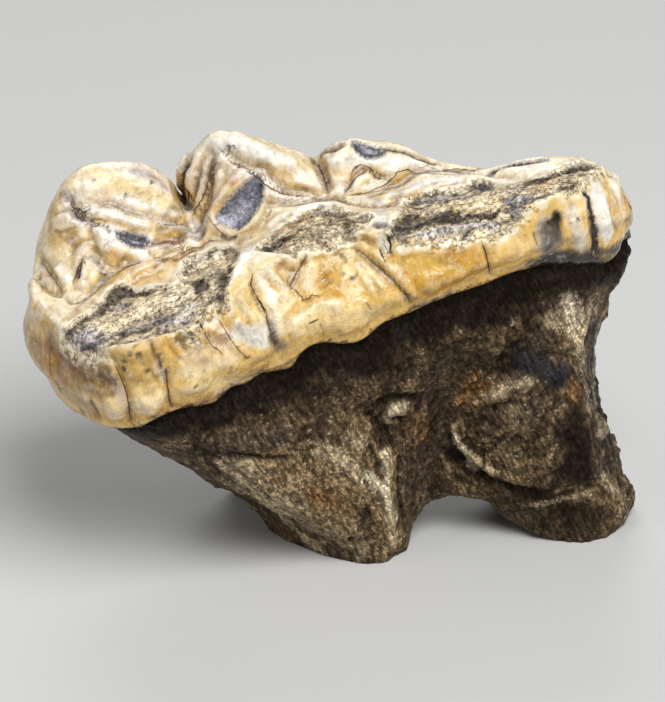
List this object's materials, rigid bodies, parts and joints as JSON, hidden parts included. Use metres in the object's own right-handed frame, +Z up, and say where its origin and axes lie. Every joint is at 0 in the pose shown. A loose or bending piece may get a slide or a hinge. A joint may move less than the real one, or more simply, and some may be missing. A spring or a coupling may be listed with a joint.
{
  "type": "fossil cave bear tooth",
  "caption": "Worn fossil cave bear molar: ground-down cream and amber enamel crown on a dark trunk of fused roots, standing on its root tips.",
  "frame": {"origin": "on the ground plane under the middle of the tooth's bounding box, with the tooth standing on its root tips", "axes": "+X along the crown from its broad front end to its narrow rear end, +Y to the cheek side, +Z up"},
  "size_m": [0.0446, 0.0214, 0.0317],
  "materials": {
    "fossil_tooth": "glossy enamel crown, matt granular roots"
  },
  "bodies": {
    "root": {"cave_bear_molar": "fossil_tooth"}
  },
  "joints": []
}
